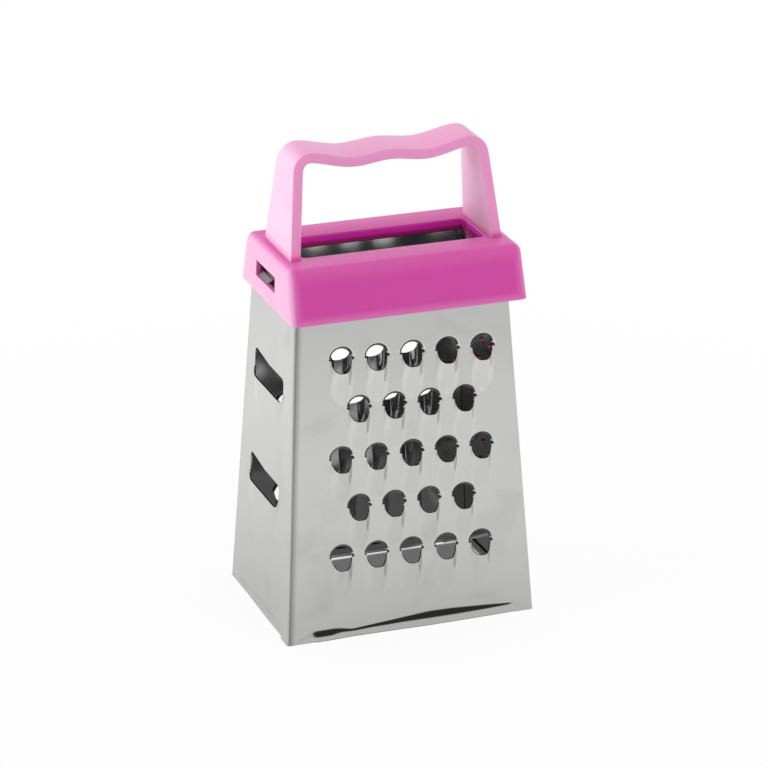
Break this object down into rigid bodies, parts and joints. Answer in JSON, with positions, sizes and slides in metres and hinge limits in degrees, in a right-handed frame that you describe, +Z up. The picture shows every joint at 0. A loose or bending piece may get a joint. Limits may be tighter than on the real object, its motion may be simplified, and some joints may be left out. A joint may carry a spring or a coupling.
{
  "type": "box grater",
  "caption": "Small four-sided steel grater with coarse teeth, slicing slots and fine burrs, and a moulded cap with a carrying handle.",
  "frame": {"origin": "middle of the bottom rim, on the surface that the grater stands on", "axes": "+Z up through the handle, +X along the long side towards the right end panel, -Y out of the front coarse face"},
  "size_m": [0.0508, 0.0366, 0.094],
  "materials": {
    "steel": "polished sheet, fine rolling lines",
    "plastic": "semi-gloss moulded"
  },
  "bodies": {
    "root": {"front_right_shell": "steel", "back_left_shell": "steel", "cap_with_handle": "plastic"}
  },
  "joints": []
}
